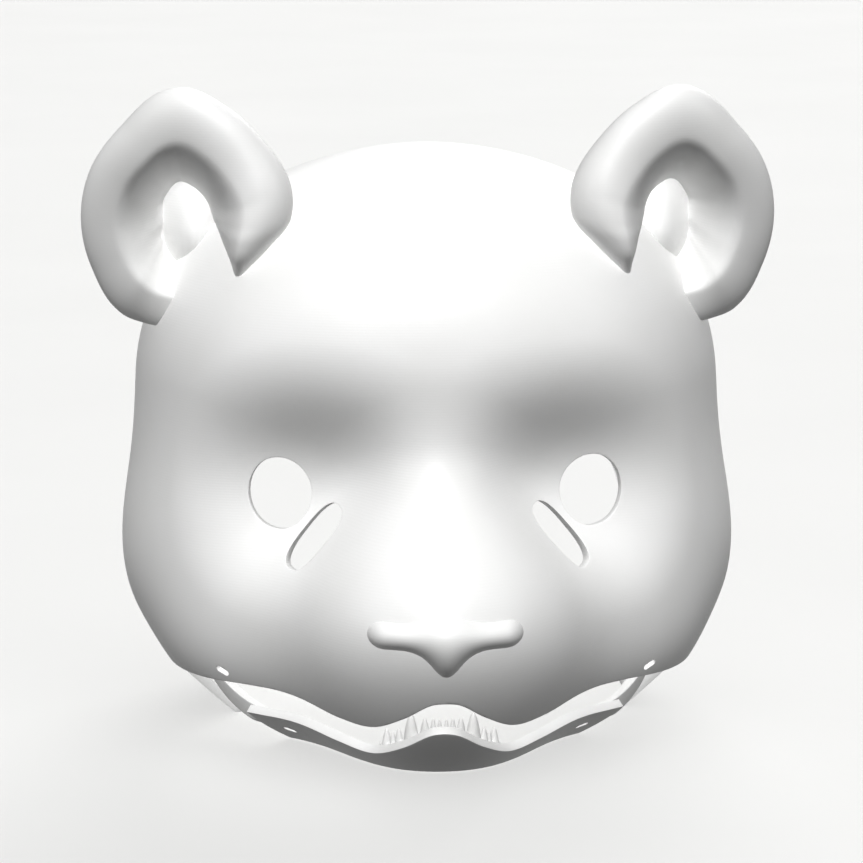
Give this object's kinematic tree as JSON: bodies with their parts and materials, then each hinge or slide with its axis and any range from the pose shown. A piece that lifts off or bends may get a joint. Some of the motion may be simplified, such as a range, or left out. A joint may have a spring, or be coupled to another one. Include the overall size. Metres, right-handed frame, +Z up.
{
  "type": "fursuit head base",
  "caption": "Bare white head base of a bear costume: hollow printed shell with cupped ears, nose pad, eye holes, tear slits and a hinged lower jaw with small teeth.",
  "frame": {"origin": "on the surface it stands on, under the middle of its bounding box", "axes": "+Z up, the face looks along -Y, +X is the right side of the picture; ear to ear along X"},
  "size_m": [0.325, 0.2978, 0.301],
  "materials": {
    "shell_plastic": "satin white printed plastic",
    "nose_plastic": "satin white printed plastic",
    "teeth_plastic": "satin white printed plastic",
    "pin_plastic": "satin white printed plastic"
  },
  "bodies": {
    "head": {"head_shell": "shell_plastic", "ear_left": "shell_plastic", "ear_right": "shell_plastic", "nose": "nose_plastic", "jaw_pin_left": "pin_plastic", "jaw_pin_right": "pin_plastic"},
    "jaw": {"jaw": "shell_plastic", "lower_teeth": "teeth_plastic"}
  },
  "joints": [
    {"name": "jaw_hinge", "type": "hinge", "parent": "head", "child": "jaw", "pos_m": [0, 0.02283, 0.048], "axis": [1, 0, 0], "range_deg": [-6, 10]}
  ]
}
